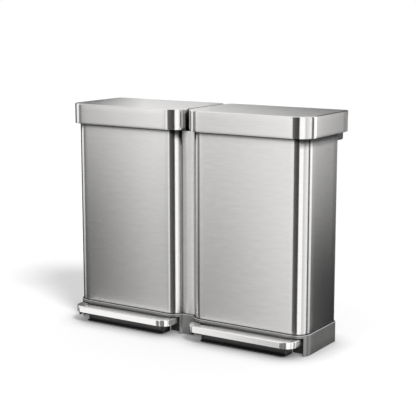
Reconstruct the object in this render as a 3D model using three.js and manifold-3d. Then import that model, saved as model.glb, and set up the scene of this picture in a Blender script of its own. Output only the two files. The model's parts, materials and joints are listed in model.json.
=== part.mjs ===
// Double recycling bin: two pedal bins side by side on one moulded base.
// Each bin has a steel body, a steel lid on a rear hinge, a lift-out bucket and a wide steel pedal.
// The pedal tips a lever under the bin, the lever lifts a rod behind the bucket, and the rod turns the
// lid's crank. An air damper beside the rod slows the lid.
// Millimetres, +Z up, the front faces -Y. The origin is on the floor under the centre of the whole object.

import * as THREE from "three";
import { mergeVertices } from "three/addons/utils/BufferGeometryUtils.js";
import Module from "manifold-3d";

const wasm = await Module();
wasm.setup();

// ---------------------------------------------------------------- driving dimensions
// A bin is drawn about its own centre line, x = 0, with y = 0 on the front of its steel body.
const TOTAL_HEIGHT = 655;
const BIN_SPACING = 404; // between the two centre lines
const BODY_WIDTH = 366;
const BODY_DEPTH = 196;
const BODY_TOP = 604;
const FRONT_RADIUS = 38;
const BACK_RADIUS = 12;
const SHEET = 1; // steel sheet of bodies, lids and bridge panels
const GAP = 0.3; // between pieces that touch
const RUNNING_GAP = 0.35; // round a shaft that turns or slides

const BASE_HEIGHT = 60;
const BASE_LIFT = 1.5; // the rubber feet hold the base this far off the floor
const BASE_PROUD = 4; // how far the base stands outside the body
const BASE_WALL = 3;
const DECK_TOP = 52;
const DECK = 3;
const LIP_WALL = 3.5;
const NOTCH_HALF = 178; // half the width of the pedal's opening in the base
const NOTCH_FRONT = -20;
const NOTCH_BACK = 24;
const NOTCH_TOP_MIDDLE = 48; // the opening is cut up to the deck's top over the pedal's arms
const FOOT_POST_RADIUS = 11;

const VALLEY_RECESS = 24.5; // the bridge panels sit this far behind the front and before the back
const VALLEY_OVERLAP = 20; // how far the base's valley section runs in under each body
const BRIDGE_TOP = 592;
const BRIDGE_FLANGE = 14;

const LID_OVERHANG_FRONT = 15;
const LID_BACK = 238;
const LID_WIDTH = 393;
const LID_BOTTOM = 596;
const LID_FRONT_RADIUS = 50;
const LID_BACK_RADIUS = 20;
const LID_EDGE = 2.5;
const LINER_UNDERSIDE = 646;
const LINER_BACK = 192;

const HINGE_Y = 210;
const HINGE_Z = 600;
const LID_OPENING = 80; // degrees
const ROD_Y = 190.5; // the push rod runs up inside the back wall
const ROD_RADIUS = 2.5;
const AXLE_RADIUS = 3;

const HOUSING_HALF = 178;
const HOUSING_BACK = 233;
const HOUSING_BOTTOM = 572;
const HOUSING_TOP = 612;
const HOUSING_WALL = 2.5;
const ARM_X = 150; // the lid's two hinge arms
const SCREW_X = 100;
const SCREW_Z = 586;
const SCREW_LENGTH = 43; // through the housing and the body's back wall
const SCREW_RADIUS = 1.9;
const SCREW_HEAD_RADIUS = 4;

const BUCKET_HALF = 176;
const BUCKET_FRONT = 7;
const BUCKET_BACK = 174;
const BUCKET_RIM_TOP = 617.3;
const BUCKET_RIM_OUT = 3; // the rim lies this far out over the collar
const BUCKET_WALL = 2;
const BUCKET_FLOOR = 2.5;
const BUCKET_CLEARANCE = 1.5; // between the bucket's wall and the collar
const FINGER_HOLE_Y = [65, 145];
const FINGER_HOLE_Z = [586, 608];

const PEDAL_REACH = 44; // in front of the body
const PEDAL_HALF = 170;
const PEDAL_RADIUS = 30;
const PEDAL_TOP = 50;
const PEDAL_DROP = 18.5; // height of the steel band
const PEDAL_SHEET = 1.5;
const PEDAL_ARM_INNER = 141;
const PEDAL_STRIP_BACK = -16;
const PEDAL_ARM_BACK = 14;
const PIVOT_Y = 49;
const PIVOT_Z = 30;
const LEVER_X = 155; // the lever's two side plates
const LEVER_BOTTOM = 9;
const LEVER_TOP = 13; // top of the beam that lifts the rod

const KICK_HALF = 138;
const KICK_FRONT = -13;
const KICK_BACK = 22;
const KICK_LEDGE_FRONT = -22;
const KICK_LEDGE = 2.5; // thickness of the ledge
const KICK_WALL = 2.7;

const DAMPER_X = 28;
const DAMPER_Y = 188;
const DAMPER_BOTTOM = 430;
const DAMPER_TOP = 545;
const DAMPER_RADIUS = 6;
const DAMPER_CLIP = [490, 512]; // heights of the block that holds the damper to the back wall
const DAMPER_ROD = 2;
const DAMPER_ROD_BOTTOM = 478;
const DAMPER_BORE_BOTTOM = 465;
const GUIDE = [296, 308]; // heights of the block that guides the push rod
const GUIDE_HALF = 9;
const GUIDE_FRONT = 184;

// ---------------------------------------------------------------- worked out from them
const BIN_X = BIN_SPACING / 2;
const VALLEY_HALF = BIN_X - BODY_WIDTH / 2;
const FRONT_Y = (PEDAL_REACH - LID_BACK) / 2; // puts the origin under the middle of the object
const SHELL_BOTTOM = DECK_TOP + GAP;
const CRANK_Y = HINGE_Y - ROD_Y; // level distance from the hinge to the crank pin
const HALF_OPENING = THREE.MathUtils.degToRad(LID_OPENING / 2);
const CRANK_DROP = CRANK_Y * Math.tan(HALF_OPENING); // the crank swings equally below and above the hinge
const PIN_Z = HINGE_Z - CRANK_DROP;

// Plan outlines, before any offset.
const bodyPlan = {
  half: BODY_WIDTH / 2,
  front: 0,
  back: BODY_DEPTH,
  frontRadius: FRONT_RADIUS,
  backRadius: BACK_RADIUS,
};
const lidPlan = {
  half: LID_WIDTH / 2,
  front: -LID_OVERHANG_FRONT,
  back: LID_BACK,
  frontRadius: LID_FRONT_RADIUS,
  backRadius: LID_BACK_RADIUS,
};
const bucketPlan = {
  half: BUCKET_HALF,
  front: BUCKET_FRONT,
  back: BUCKET_BACK,
  frontRadius: 48,
  backRadius: 14,
};

// ---------------------------------------------------------------- materials
const steel = (color, roughness) => new THREE.MeshStandardMaterial({ color, roughness, metalness: 1 });
const plastic = (color, roughness) => new THREE.MeshStandardMaterial({ color, roughness, metalness: 0 });
const brushedSteel = steel(0xc4c4c2, 0.32);
const pedalSteel = steel(0xd6d6d4, 0.25);
const zincSteel = steel(0x9c9ea0, 0.4);
const blackSteel = plastic(0x1a1a1a, 0.4); // coated black
const basePlastic = plastic(0x6a6a68, 0.5);
const blackPlastic = plastic(0x1c1c1c, 0.5);
const bucketPlastic = plastic(0x3a3a3a, 0.55);
const rubber = plastic(0x151515, 0.85);

// ---------------------------------------------------------------- solids
const ARC_STEPS = 4; // curveSegments: an arc has twice as many sides
const ROUND_SIDES = 12; // sides of rods, pins and bores

function solid(geometry) {
  const plain = geometry.clone();
  plain.deleteAttribute("normal");
  plain.deleteAttribute("uv");
  const merged = mergeVertices(plain, 1e-4);
  return new wasm.Manifold(
    new wasm.Mesh({
      numProp: 3,
      vertProperties: merged.attributes.position.array,
      triVerts: new Uint32Array(merged.index.array),
    }),
  );
}

const join = (first, ...others) => others.reduce((sum, s) => sum.add(s), first);
const cut = (first, ...others) => others.reduce((rest, s) => rest.subtract(s), first);

// A rounded rectangle in plan, grown outwards by an offset.
function planShape(plan, grow = 0) {
  const right = plan.half + grow;
  const front = plan.front - grow;
  const back = plan.back + grow;
  const frontRadius = Math.max(plan.frontRadius + grow, 1);
  const backRadius = Math.max(plan.backRadius + grow, 1);
  const shape = new THREE.Shape();
  shape.absarc(right - frontRadius, front + frontRadius, frontRadius, -Math.PI / 2, 0);
  shape.absarc(right - backRadius, back - backRadius, backRadius, 0, Math.PI / 2);
  shape.absarc(backRadius - right, back - backRadius, backRadius, Math.PI / 2, Math.PI);
  shape.absarc(frontRadius - right, front + frontRadius, frontRadius, Math.PI, 1.5 * Math.PI);
  return shape;
}

// A plan shape between two heights.
function prism(shape, bottom, top) {
  const settings = { depth: top - bottom, bevelEnabled: false, curveSegments: ARC_STEPS };
  return solid(new THREE.ExtrudeGeometry(shape, settings).translate(0, 0, bottom));
}

const planPrism = (plan, grow, bottom, top) => prism(planShape(plan, grow), bottom, top);

// A wall that follows a plan outline between two offsets.
function ring(plan, outer, inner, bottom, top) {
  return cut(planPrism(plan, outer, bottom, top), planPrism(plan, inner, bottom - 1, top + 1));
}

function box(left, right, front, back, bottom, top) {
  const geometry = new THREE.BoxGeometry(right - left, back - front, top - bottom);
  return solid(geometry.translate((left + right) / 2, (front + back) / 2, (bottom + top) / 2));
}

// A profile drawn in the Y-Z plane, between two places along X.
const PROFILE_TO_X = new THREE.Matrix4().makeBasis(
  new THREE.Vector3(0, 1, 0),
  new THREE.Vector3(0, 0, 1),
  new THREE.Vector3(1, 0, 0),
);
function bar(shape, left, right) {
  const settings = { depth: right - left, bevelEnabled: false, curveSegments: ARC_STEPS };
  const geometry = new THREE.ExtrudeGeometry(shape, settings).applyMatrix4(PROFILE_TO_X);
  return solid(geometry.translate(left, 0, 0));
}

function polygon(points) {
  return new THREE.Shape(points.map(([y, z]) => new THREE.Vector2(y, z)));
}

function rodAlongX(radius, left, right, y, z) {
  const geometry = new THREE.CylinderGeometry(radius, radius, right - left, ROUND_SIDES).rotateZ(Math.PI / 2);
  return solid(geometry.translate((left + right) / 2, y, z));
}

function rodAlongY(radius, front, back, x, z) {
  const geometry = new THREE.CylinderGeometry(radius, radius, back - front, ROUND_SIDES);
  return solid(geometry.translate(x, (front + back) / 2, z));
}

function rodAlongZ(radius, bottom, top, x, y) {
  const geometry = new THREE.CylinderGeometry(radius, radius, top - bottom, ROUND_SIDES);
  geometry.rotateX(Math.PI / 2);
  return solid(geometry.translate(x, y, (bottom + top) / 2));
}

// A flat link with round ends between two points of the Y-Z plane.
function link([y0, z0], [y1, z1], halfWidth, left, right) {
  const along = Math.atan2(z1 - z0, y1 - y0);
  const shape = new THREE.Shape();
  shape.absarc(y1, z1, halfWidth, along - Math.PI / 2, along + Math.PI / 2);
  shape.absarc(y0, z0, halfWidth, along + Math.PI / 2, along + 1.5 * Math.PI);
  return bar(shape, left, right);
}

function mesh(name, made, material) {
  const data = made.getMesh();
  const geometry = new THREE.BufferGeometry();
  geometry.setAttribute("position", new THREE.BufferAttribute(data.vertProperties, 3));
  geometry.setIndex(new THREE.BufferAttribute(data.triVerts, 1));
  geometry.computeVertexNormals();
  const piece = new THREE.Mesh(geometry, material);
  piece.name = name;
  return piece;
}

// ---------------------------------------------------------------- the shared base
// Both bins' outlines, grown by an offset.
function bothBodies(grow, bottom, top) {
  const body = planPrism(bodyPlan, grow, bottom, top);
  return join(body.translate(-BIN_X, 0, 0), body.translate(BIN_X, 0, 0));
}

// Both outlines and the valley that joins them.
function baseBlock(grow, bottom, top) {
  const half = VALLEY_HALF + VALLEY_OVERLAP;
  const valley = box(-half, half, VALLEY_RECESS - grow, BODY_DEPTH - VALLEY_RECESS + grow, bottom, top);
  return join(bothBodies(grow, bottom, top), valley);
}

const REAR_FEET = [
  [-160, 176],
  [160, 176],
];
const AXLE_RIB_HALF = 1.5;
const AXLE_RIB_REACH = 9; // round the axle
const AXLE_RIBS = [-161.5, -148.5, 148.5, 161.5];
const AXLE_BORE_HALF = 164;
const ROD_HOLE_RADIUS = 5;

// A rib that hangs from the deck and holds the pedal's axle.
function axleRib(x) {
  const [front, back] = [PIVOT_Y - AXLE_RIB_REACH, PIVOT_Y + AXLE_RIB_REACH];
  const [left, right] = [x - AXLE_RIB_HALF, x + AXLE_RIB_HALF];
  return box(left, right, front, back, PIVOT_Z - AXLE_RIB_REACH, DECK_TOP - DECK + 1);
}

const pedalNotch = (left, right, top) => box(left, right, NOTCH_FRONT, NOTCH_BACK, -1, top);

function baseHousing() {
  let base = baseBlock(BASE_PROUD, BASE_LIFT, BASE_HEIGHT);
  base = cut(base, baseBlock(BASE_PROUD - BASE_WALL, 0, DECK_TOP - DECK));
  base = cut(base, baseBlock(BASE_PROUD - LIP_WALL, DECK_TOP, BASE_HEIGHT + 1));
  for (const x of [-BIN_X, BIN_X]) {
    const ribs = AXLE_RIBS.map((rib) => axleRib(x + rib));
    const posts = REAR_FEET.map(([footX, footY]) =>
      rodAlongZ(FOOT_POST_RADIUS, BASE_LIFT, DECK_TOP - 1, x + footX, footY),
    );
    base = cut(
      join(base, ...ribs, ...posts),
      rodAlongX(AXLE_RADIUS + GAP, x - AXLE_BORE_HALF, x + AXLE_BORE_HALF, PIVOT_Y, PIVOT_Z),
      rodAlongZ(ROD_HOLE_RADIUS, DECK_TOP - DECK - 1, DECK_TOP + 1, x, ROD_Y),
      pedalNotch(x - NOTCH_HALF, x + NOTCH_HALF, NOTCH_TOP_MIDDLE),
      pedalNotch(x - NOTCH_HALF, x - KICK_HALF, DECK_TOP),
      pedalNotch(x + KICK_HALF, x + NOTCH_HALF, DECK_TOP),
    );
  }
  return base;
}

// ---------------------------------------------------------------- panels between the two bins
// What lies between the two bodies from one depth to another, clear of them by a gap.
function betweenBodies(front, back, gap, bottom, top) {
  return cut(box(-BIN_X, BIN_X, front, back, bottom, top), bothBodies(gap, bottom - 1, top + 1));
}

// A shallow channel: its web shows between the bins, and its flanges lie along their sides.
// The hollow is the channel's own shape moved back or forward by the sheet.
function bridgePanel(front, hollowFront) {
  return cut(
    betweenBodies(front, front + BRIDGE_FLANGE, GAP, SHELL_BOTTOM, BRIDGE_TOP),
    betweenBodies(hollowFront, hollowFront + BRIDGE_FLANGE, GAP + SHEET, 0, TOTAL_HEIGHT),
  );
}

const frontBridgePanel = () => bridgePanel(VALLEY_RECESS, VALLEY_RECESS + SHEET);

function rearBridgePanel() {
  const front = BODY_DEPTH - VALLEY_RECESS - BRIDGE_FLANGE;
  return bridgePanel(front, front - SHEET);
}

// ---------------------------------------------------------------- one bin: fixed pieces
const CRANK_NOTCH = [-14, 14]; // the crank passes through the back wall here
const CRANK_NOTCH_BOTTOM = 562;
const THROUGH_BACK = [BODY_DEPTH - 8, BODY_DEPTH + 8]; // depth of a cut through the back wall alone
const LINKAGE_NOTCH = [-14, 40]; // rod head and damper rod rise through the collar here

function bodyShell() {
  return cut(
    ring(bodyPlan, 0, -SHEET, SHELL_BOTTOM, BODY_TOP),
    box(...CRANK_NOTCH, ...THROUGH_BACK, CRANK_NOTCH_BOTTOM, BODY_TOP + 1),
    ...screwHoles(),
  );
}

const screwHoles = () =>
  [-SCREW_X, SCREW_X].map((x) =>
    rodAlongY(SCREW_RADIUS + RUNNING_GAP, BODY_DEPTH - 5, HOUSING_BACK + 1, x, SCREW_Z),
  );

const COLLAR_TOP = 614;
const COLLAR_OUT = 2; // over the body's edge
const COLLAR_IN = 12;
const SKIRT_BOTTOM = 590;
const SKIRT_WALL = 2.5;
const COLLAR_STEP_HALF = 164; // the collar is low at the back, under the hinge arms
function rimCollar() {
  const top = ring(bodyPlan, COLLAR_OUT, -COLLAR_IN, BODY_TOP + GAP, COLLAR_TOP);
  const skirtOutside = -SHEET - 0.5;
  const skirt = ring(bodyPlan, skirtOutside, skirtOutside - SKIRT_WALL, SKIRT_BOTTOM, BODY_TOP + 1);
  const clearOfBack = BODY_DEPTH - 22;
  return cut(
    join(top, skirt),
    planPrism(bucketPlan, BUCKET_CLEARANCE, SKIRT_BOTTOM - 1, COLLAR_TOP + 1),
    box(...LINKAGE_NOTCH, BODY_DEPTH - 20, BODY_DEPTH + 8, SKIRT_BOTTOM - 1, COLLAR_TOP + 1),
    box(-COLLAR_STEP_HALF, COLLAR_STEP_HALF, clearOfBack, BODY_DEPTH + 8, BODY_TOP + 3, COLLAR_TOP + 1),
    box(-LID_WIDTH, LID_WIDTH, BODY_DEPTH, BODY_DEPTH + 8, BODY_TOP, COLLAR_TOP + 1),
  );
}

// Bucket: a straight tub with a flat rim that lies over the collar, and a finger hole in each side.
function bucket() {
  const tub = planPrism(bucketPlan, 0, SHELL_BOTTOM, BUCKET_RIM_TOP);
  const rim = planPrism(bucketPlan, BUCKET_RIM_OUT, COLLAR_TOP + GAP, BUCKET_RIM_TOP);
  const inside = planPrism(bucketPlan, -BUCKET_WALL, SHELL_BOTTOM + BUCKET_FLOOR, BUCKET_RIM_TOP + 1);
  const fingers = box(-LID_WIDTH, LID_WIDTH, ...FINGER_HOLE_Y, ...FINGER_HOLE_Z);
  return cut(join(tub, rim), inside, fingers);
}

const HOUSING_RIBS = [-157, -143, -12, 12, 143, 157];
const HOUSING_RIB_HALF = 1.5;
const HOUSING_SLOTS = [-ARM_X, 0, ARM_X];
const HOUSING_SLOT_HALF = 3.5;
const HOUSING_SLOT_BACK = 228;
const HOUSING_EDGES = { lower: 6, upper: 10 }; // radii of the two long back edges
const SCREW_POST_RADIUS = 5;

// The housing's section: square at the front, rounded along its back edges.
function housingShape(inset) {
  const front = BODY_DEPTH + GAP;
  const back = HOUSING_BACK - inset;
  const bottom = HOUSING_BOTTOM + inset;
  const top = HOUSING_TOP - inset;
  const lower = HOUSING_EDGES.lower - inset;
  const upper = HOUSING_EDGES.upper - inset;
  const shape = new THREE.Shape();
  shape.moveTo(front, bottom);
  shape.lineTo(back - lower, bottom);
  shape.absarc(back - lower, bottom + lower, lower, -Math.PI / 2, 0);
  shape.absarc(back - upper, top - upper, upper, 0, Math.PI / 2);
  shape.lineTo(front, top);
  return shape;
}

function hingeHousing() {
  const end = HOUSING_HALF - HOUSING_WALL;
  const front = BODY_DEPTH + GAP;
  const outside = bar(housingShape(0), -HOUSING_HALF, HOUSING_HALF);
  const hollow = bar(housingShape(HOUSING_WALL), -end, end);
  const ribs = HOUSING_RIBS.map((x) => {
    const [left, right] = [x - HOUSING_RIB_HALF, x + HOUSING_RIB_HALF];
    return box(left, right, front + 2.5, HOUSING_BACK - 2, HOUSING_BOTTOM + 2, HOUSING_TOP - 2);
  });
  const posts = [-SCREW_X, SCREW_X].map((x) =>
    rodAlongY(SCREW_POST_RADIUS, front + 0.5, HOUSING_BACK - 1, x, SCREW_Z),
  );
  const slots = HOUSING_SLOTS.map((x) => {
    const [left, right] = [x - HOUSING_SLOT_HALF, x + HOUSING_SLOT_HALF];
    return box(left, right, front - 1, HOUSING_SLOT_BACK, HOUSING_TOP - 6, HOUSING_TOP + 1);
  });
  return cut(
    join(cut(outside, hollow), ...ribs, ...posts),
    rodAlongX(AXLE_RADIUS + GAP, -end, end, HINGE_Y, HINGE_Z),
    ...screwHoles(),
    ...slots,
  );
}

function housingScrew() {
  const profile = [
    [0, 0],
    [SCREW_RADIUS, 0],
    [SCREW_RADIUS, SCREW_LENGTH],
    [SCREW_HEAD_RADIUS, SCREW_LENGTH],
    [SCREW_HEAD_RADIUS, SCREW_LENGTH + 1],
    [SCREW_HEAD_RADIUS - 1.4, SCREW_LENGTH + 2],
    [0, SCREW_LENGTH + 2],
  ];
  const points = profile.map(([radius, along]) => new THREE.Vector2(radius, along));
  return solid(new THREE.LatheGeometry(points, ROUND_SIDES));
}

// A shape in plan with rounded front corners and square back ones.
function bowShape(half, front, back, radius) {
  const shape = new THREE.Shape();
  shape.absarc(half - radius, front + radius, radius, -Math.PI / 2, 0);
  shape.lineTo(half, back);
  shape.lineTo(-half, back);
  shape.absarc(radius - half, front + radius, radius, Math.PI, 1.5 * Math.PI);
  return shape;
}

const KICK_RADIUS = 7;
const KICK_LEDGE_RADIUS = 10;

// A wall that closes the middle of the pedal's opening, over a thin ledge on the floor.
function kickPlate() {
  const half = KICK_HALF - GAP;
  const ledgeShape = bowShape(half, KICK_LEDGE_FRONT, KICK_FRONT + 2, KICK_LEDGE_RADIUS);
  const ledge = prism(ledgeShape, BASE_LIFT, BASE_LIFT + KICK_LEDGE);
  const block = prism(bowShape(half, KICK_FRONT, KICK_BACK, KICK_RADIUS), BASE_LIFT, NOTCH_TOP_MIDDLE - GAP);
  const inside = KICK_FRONT + KICK_WALL;
  const hollow = bowShape(half - KICK_WALL, inside, KICK_BACK + 1, KICK_RADIUS - KICK_WALL);
  return join(ledge, cut(block, prism(hollow, 0, TOTAL_HEIGHT)));
}

const BACK_WALL_FACE = BODY_DEPTH - SHEET - GAP; // what is fixed to the back wall's inside ends here

function rodGuide() {
  return cut(
    box(-GUIDE_HALF, GUIDE_HALF, GUIDE_FRONT, BACK_WALL_FACE, ...GUIDE),
    rodAlongZ(ROD_RADIUS + RUNNING_GAP, GUIDE[0] - 1, GUIDE[1] + 1, 0, ROD_Y),
  );
}

function damperCylinder() {
  const [left, right] = [DAMPER_X - DAMPER_RADIUS, DAMPER_X + DAMPER_RADIUS];
  return cut(
    join(
      rodAlongZ(DAMPER_RADIUS, DAMPER_BOTTOM, DAMPER_TOP, DAMPER_X, DAMPER_Y),
      box(left, right, DAMPER_Y, BACK_WALL_FACE, ...DAMPER_CLIP),
    ),
    rodAlongZ(DAMPER_ROD + RUNNING_GAP, DAMPER_BORE_BOTTOM, DAMPER_TOP + 1, DAMPER_X, DAMPER_Y),
  );
}

const FOOT_RADIUS = 9;
const FOOT_STRIP_HALF = 125;
const FOOT_STRIP = [-19, -10]; // front and back of the long front foot, under the kick plate's ledge

function rearFoot() {
  const profile = [
    [0, 0],
    [FOOT_RADIUS - 1, 0],
    [FOOT_RADIUS, 0.6],
    [FOOT_RADIUS, BASE_LIFT - GAP],
    [0, BASE_LIFT - GAP],
  ];
  const points = profile.map(([radius, z]) => new THREE.Vector2(radius, z));
  return solid(new THREE.LatheGeometry(points, ROUND_SIDES).rotateX(Math.PI / 2));
}

const frontFoot = () => box(-FOOT_STRIP_HALF, FOOT_STRIP_HALF, ...FOOT_STRIP, 0, BASE_LIFT - GAP);

// ---------------------------------------------------------------- one bin: the lid
const LID_BEVEL_CUT = 10; // the block's own lower bevel lies below the lid and is cut away

function lidShell() {
  const settings = {
    depth: TOTAL_HEIGHT - LID_BOTTOM + LID_BEVEL_CUT - LID_EDGE,
    curveSegments: ARC_STEPS,
    bevelThickness: LID_EDGE,
    bevelSize: LID_EDGE,
    bevelOffset: -LID_EDGE,
    bevelSegments: 2,
  };
  const block = new THREE.ExtrudeGeometry(planShape(lidPlan), settings);
  const wide = LID_WIDTH;
  const clear = HOUSING_HALF + 3; // room round the hinge housing, which the lid's back swings past
  return cut(
    solid(block.translate(0, 0, LID_BOTTOM - LID_BEVEL_CUT)),
    box(-wide, wide, -wide, wide, LID_BOTTOM - 2 * LID_BEVEL_CUT, LID_BOTTOM),
    planPrism(lidPlan, -SHEET, LID_BOTTOM - 1, TOTAL_HEIGHT - LID_EDGE),
    planPrism(lidPlan, -SHEET - 2, LID_BOTTOM - 1, TOTAL_HEIGHT - SHEET),
    box(-clear, clear, LID_BACK - 25, LID_BACK + 5, LID_BOTTOM - 1, HOUSING_TOP + 10),
  );
}

const LINER_SHEET = 2.5;
const LINER_UPSTAND = 3;
const LINER_INSET = SHEET + 2.4; // inside the lid's outline
const SEAL_OUT = 7; // the hanging rib runs this far outside the body
const SEAL_WALL = 2;

// Inner lid: a plate with an upstand round its edge, and a rib that hangs outside the collar.
function lidLiner() {
  const plan = { ...lidPlan, back: LINER_BACK, backRadius: 8 };
  const inset = -LINER_INSET;
  const plate = planPrism(plan, inset, LINER_UNDERSIDE, LINER_UNDERSIDE + LINER_SHEET);
  const upstandTop = TOTAL_HEIGHT - SHEET - GAP;
  const upstand = ring(plan, inset, inset - LINER_UPSTAND, LINER_UNDERSIDE, upstandTop);
  const seal = cut(
    ring(bodyPlan, SEAL_OUT, SEAL_OUT - SEAL_WALL, BODY_TOP + 2, LINER_UNDERSIDE + 1),
    box(-LID_WIDTH, LID_WIDTH, LINER_BACK - 8, LID_BACK, BODY_TOP, LINER_UNDERSIDE + 2),
  );
  return join(plate, upstand, seal);
}

const FLANGE = { half: 9, front: 154, back: 182, thickness: 2.5, top: LINER_UNDERSIDE - GAP };
const HINGE_POINT = [HINGE_Y, HINGE_Z];
const ARM_TIP = [HINGE_Y - 36, HINGE_Z + 41];
const ARM_HALF_WIDTH = 4.7;
const CRANK_HALF_WIDTH = 4.2;
const BOSS_RADIUS = 8;
const PLATE_HALF = 1.25; // half the thickness of the hinge plates
const PIN_RADIUS = 2.5;
const PIN_HALF = 7;

// A plate that turns on the hinge axle, and its flange under the inner lid.
function hingeArm() {
  const { half, front, back, thickness, top } = FLANGE;
  const plate = join(
    link(HINGE_POINT, ARM_TIP, ARM_HALF_WIDTH, -PLATE_HALF, PLATE_HALF),
    rodAlongX(BOSS_RADIUS, -PLATE_HALF, PLATE_HALF, ...HINGE_POINT),
    box(-half, half, front, back, top - thickness, top),
  );
  return cut(plate, rodAlongX(AXLE_RADIUS + RUNNING_GAP, -5, 5, ...HINGE_POINT));
}

// The middle plate has a second arm, which the push rod turns.
function lidCrank() {
  const arm = link(HINGE_POINT, [ROD_Y, PIN_Z], CRANK_HALF_WIDTH, -PLATE_HALF, PLATE_HALF);
  return cut(
    join(hingeArm(), arm),
    rodAlongX(AXLE_RADIUS + RUNNING_GAP, -5, 5, ...HINGE_POINT),
    rodAlongX(PIN_RADIUS + GAP, -5, 5, ROD_Y, PIN_Z),
  );
}

const crankPin = () => rodAlongX(PIN_RADIUS, -PIN_HALF, PIN_HALF, ROD_Y, PIN_Z);

const BUMPER_RADIUS = 3.5;
function lidBumper() {
  const height = LINER_UNDERSIDE - COLLAR_TOP - 2 * GAP;
  const profile = [
    [0, 0],
    [2, 0],
    [BUMPER_RADIUS, 1.5],
    [BUMPER_RADIUS, height],
    [0, height],
  ];
  const points = profile.map(([radius, z]) => new THREE.Vector2(radius, z));
  return solid(new THREE.LatheGeometry(points, ROUND_SIDES).rotateX(Math.PI / 2));
}

// ---------------------------------------------------------------- one bin: the pedal
function pedalShape(inset, back) {
  return bowShape(PEDAL_HALF - inset, inset - PEDAL_REACH, back, PEDAL_RADIUS - inset);
}

// A U-shaped plate whose outer edge turns down all round as a deep band.
function pedalCover() {
  const bottom = PEDAL_TOP - PEDAL_DROP;
  const inner = PEDAL_ARM_INNER;
  return cut(
    prism(pedalShape(0, PEDAL_ARM_BACK), bottom, PEDAL_TOP),
    prism(pedalShape(PEDAL_SHEET, PEDAL_ARM_BACK + 5), bottom - 1, PEDAL_TOP - PEDAL_SHEET),
    box(-inner, inner, PEDAL_STRIP_BACK, PEDAL_ARM_BACK + 5, bottom - 1, PEDAL_TOP + 1),
  );
}

const LEVER_PLATE_HALF = 1.5;
const CROSS_BAR = [60, 72]; // front and back of the bar that joins the plates
const CROSS_BAR_TOP = 20;
const BEAM_HALF = 10;

// Two side plates that turn on the axle, a bar across them, and a beam back to the push rod.
function pedalLever() {
  const top = PEDAL_TOP - PEDAL_SHEET - GAP;
  // From the front foot under the pedal, back past the axle and down to the cross bar.
  const sidePlate = polygon([
    [-35, top],
    [-32, 20],
    [-18, 20],
    [-12, 33],
    [18, 33],
    [40, 21],
    [CROSS_BAR[0], LEVER_BOTTOM],
    [CROSS_BAR[1], LEVER_BOTTOM],
    [CROSS_BAR[1], 22],
    [60, 38],
    [40, 40],
    [16, top],
  ]);
  const sides = [-LEVER_X, LEVER_X].map((x) => bar(sidePlate, x - LEVER_PLATE_HALF, x + LEVER_PLATE_HALF));
  const crossBar = box(-LEVER_X, LEVER_X, ...CROSS_BAR, LEVER_BOTTOM, CROSS_BAR_TOP);
  const beam = box(-BEAM_HALF, BEAM_HALF, CROSS_BAR[0] + 6, ROD_Y + 4, LEVER_BOTTOM, LEVER_TOP);
  const bores = [-LEVER_X, LEVER_X].map((x) =>
    rodAlongX(AXLE_RADIUS + RUNNING_GAP, x - 3, x + 3, PIVOT_Y, PIVOT_Z),
  );
  return cut(join(...sides, crossBar, beam), ...bores);
}

// ---------------------------------------------------------------- one bin: the push rod
const CLEVIS_BOTTOM = PIN_Z - 15;
const SOCKET = 5; // how far the rod goes up into the clevis
const CLEVIS_HALF = 5.5;
const CHEEK_FRAME = 2.1; // steel left in front of the slot and behind it
const SLIT_HALF = 1.7; // the crank swings in this slit between the cheeks
const SLIT_FLOOR = PIN_Z - 7.1;
const LUG = 4; // thickness of the lug
function pushRod() {
  const tipZ = LEVER_TOP + GAP + ROD_RADIUS;
  const tip = new THREE.SphereGeometry(ROD_RADIUS, ROUND_SIDES, 6).translate(0, ROD_Y, tipZ);
  const rod = rodAlongZ(ROD_RADIUS, tipZ, CLEVIS_BOTTOM + SOCKET, 0, ROD_Y);
  return join(rod, solid(tip));
}

// Rod head: two cheeks with a level slot for the crank pin, and a lug out to the damper's rod.
function rodClevis() {
  const slotBack = ROD_Y + 2.9;
  const slotFront = ROD_Y - 8.9;
  const slotHalf = 3.4;
  const neckFront = ROD_Y - 6.5;
  const crankPath = ROD_Y + 0.4; // behind this the crank dips below the slit's floor
  const [front, back] = [slotFront - CHEEK_FRAME, slotBack + CHEEK_FRAME];
  const across = [-CLEVIS_HALF, CLEVIS_HALF];
  const beyond = CLEVIS_HALF + 1;
  const head = join(
    box(...across, front, back, SLIT_FLOOR - 1, PIN_Z + 7),
    box(...across, neckFront, ROD_Y + 4, CLEVIS_BOTTOM, CLEVIS_BOTTOM + SOCKET),
    box(...across, neckFront, crankPath, CLEVIS_BOTTOM, PIN_Z),
    box(0, DAMPER_X + 5, neckFront, crankPath, CLEVIS_BOTTOM, CLEVIS_BOTTOM + LUG),
  );
  return cut(
    head,
    box(-SLIT_HALF, SLIT_HALF, front - 1, back + 1, SLIT_FLOOR, TOTAL_HEIGHT),
    box(-beyond, beyond, crankPath, back + 1, SLIT_FLOOR - 2, SLIT_FLOOR),
    box(-beyond, beyond, slotFront, slotBack, PIN_Z - slotHalf, PIN_Z + slotHalf),
    rodAlongZ(ROD_RADIUS + GAP, CLEVIS_BOTTOM - 1, CLEVIS_BOTTOM + SOCKET + GAP, 0, ROD_Y),
    rodAlongZ(DAMPER_ROD + GAP, CLEVIS_BOTTOM - 1, CLEVIS_BOTTOM + LUG + 1, DAMPER_X, DAMPER_Y),
  );
}

const damperRod = () => rodAlongZ(DAMPER_ROD, DAMPER_ROD_BOTTOM, CLEVIS_BOTTOM + LUG, DAMPER_X, DAMPER_Y);

// ---------------------------------------------------------------- assembly
const BUMPER_X = BODY_WIDTH / 2 - 15; // in the front corners, between the collar's edge and the bucket's rim
const BUMPER_Y = 15;
const HOUSING_AXLE_HALF = HOUSING_HALF - HOUSING_WALL - GAP;
const PEDAL_AXLE_HALF = 163;

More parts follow.
